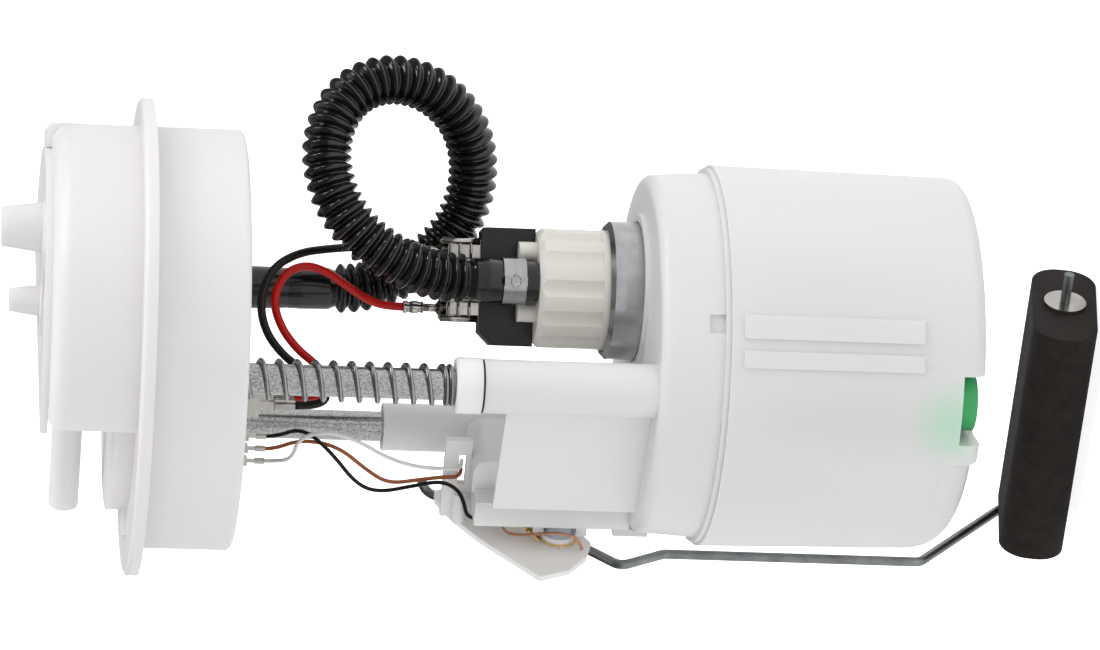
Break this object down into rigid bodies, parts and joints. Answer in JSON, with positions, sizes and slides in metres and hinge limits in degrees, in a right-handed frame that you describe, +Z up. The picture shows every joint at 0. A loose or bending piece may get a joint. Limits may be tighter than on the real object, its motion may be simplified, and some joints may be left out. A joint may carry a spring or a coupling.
{
  "type": "fuel pump module",
  "caption": "In-tank fuel pump module: flange cap on two sprung guide rods, swirl pot with pump, hose, wires and float level sender.",
  "frame": {"origin": "middle of the flange ring's underside, where it seats on the tank", "axes": "+Z up out of the tank along the flange's axis, +X to the side of the outlet pipe and the level sender"},
  "size_m": [0.1375, 0.13, 0.3045],
  "materials": {
    "cap_plastic": "satin, milky",
    "reservoir_plastic": "satin, milky",
    "sender_plastic": "satin, milky",
    "pump_plastic": "satin",
    "green_plastic": "satin",
    "black_plastic": "satin",
    "white_disc": "satin",
    "hub_plastic": "satin",
    "zinc_steel": "zinc plated",
    "spring_steel": "drawn wire",
    "can_steel": "bright zinc",
    "dark_steel": "drawn wire",
    "tin": "tin plated",
    "brass": "bright",
    "copper": "braided",
    "hose_rubber": "gloss",
    "seal_rubber": "matte",
    "red_wire": "satin",
    "black_wire": "satin",
    "brown_wire": "satin",
    "white_wire": "satin",
    "float_foam": "closed cell foam",
    "magnet": "matte",
    "winding_core": "laminated, wound",
    "carbon": "matte",
    "ceramic_card": "matte",
    "filter_mesh": "woven nylon"
  },
  "bodies": {
    "flange": {"flange_cap": "cap_plastic", "connector_pins": "tin", "guide_rod_front": "zinc_steel", "guide_rod_rear": "zinc_steel", "rod_clip_front": "spring_steel", "rod_clip_rear": "spring_steel", "cap_blades": "tin", "cap_pump_terminals": "tin", "cap_sender_terminals": "tin", "coil_spring": "spring_steel", "fuel_hose": "hose_rubber", "pump_wire_red": "red_wire", "pump_wire_black": "black_wire", "sender_wire_black": "black_wire", "sender_wire_brown": "brown_wire", "sender_wire_white": "white_wire"},
    "reservoir": {"reservoir_cover": "reservoir_plastic", "reservoir_bucket": "reservoir_plastic", "guide_bush": "white_disc", "bush_seal": "seal_rubber", "foot_valve_body": "green_plastic", "pump_can": "can_steel", "pump_outlet_cover": "pump_plastic", "pump_terminal_block": "black_plastic", "pump_blades": "tin", "pump_terminals": "tin", "hose_clamp": "can_steel", "motor_plate_upper": "can_steel", "impeller_ring": "can_steel", "pump_inlet_cover": "pump_plastic", "motor_magnets": "magnet", "motor_brushes": "carbon", "pump_isolator": "seal_rubber", "inlet_strainer": "filter_mesh", "check_valve_spring": "spring_steel", "sender_body": "sender_plastic", "sender_cover": "sender_plastic", "resistor_card": "ceramic_card", "sender_terminal_plate": "tin", "contact_spring": "brass", "sender_braid": "copper"},
    "pump_rotor": {"armature_core": "winding_core", "rotor_shaft": "dark_steel", "commutator": "brass", "impeller": "black_plastic"},
    "float_arm": {"arm_holder": "white_disc", "float_wire": "dark_steel", "float": "float_foam", "float_washer": "tin", "hub_shaft": "hub_plastic", "hub_button": "white_disc", "hub_contact_ring": "brass", "wiper_arm": "brass"},
    "foot_valve_plate": {"foot_valve_disc": "seal_rubber"},
    "check_ball": {"check_valve_ball": "white_disc"}
  },
  "joints": [
    {"name": "reservoir_slide", "type": "slide", "parent": "flange", "child": "reservoir", "axis": [0, 0, 1], "range_m": [0, 0.024], "stiffness_N_per_m": 400, "springref_m": -0.05, "deforming": ["coil_spring", "fuel_hose", "pump_wire_red", "pump_wire_black", "sender_wire_black", "sender_wire_brown", "sender_wire_white"]},
    {"name": "float_swing", "type": "hinge", "parent": "reservoir", "child": "float_arm", "pos_m": [0.048, 0.0155, -0.1168], "axis": [-1, 0, 0], "range_deg": [0, 80], "deforming": ["sender_braid"]},
    {"name": "rotor_spin", "type": "hinge", "parent": "reservoir", "child": "pump_rotor", "pos_m": [-0.0147, -0.0085, -0.165], "axis": [0, 0, 1], "continuous": true},
    {"name": "foot_valve_lift", "type": "slide", "parent": "reservoir", "child": "foot_valve_plate", "axis": [0, 0, 1], "range_m": [0, 0.002]},
    {"name": "check_ball_lift", "type": "slide", "parent": "reservoir", "child": "check_ball", "axis": [0, 0, 1], "range_m": [0, 0.0015], "stiffness_N_per_m": 20, "springref_m": -0.002, "deforming": ["check_valve_spring"]}
  ]
}
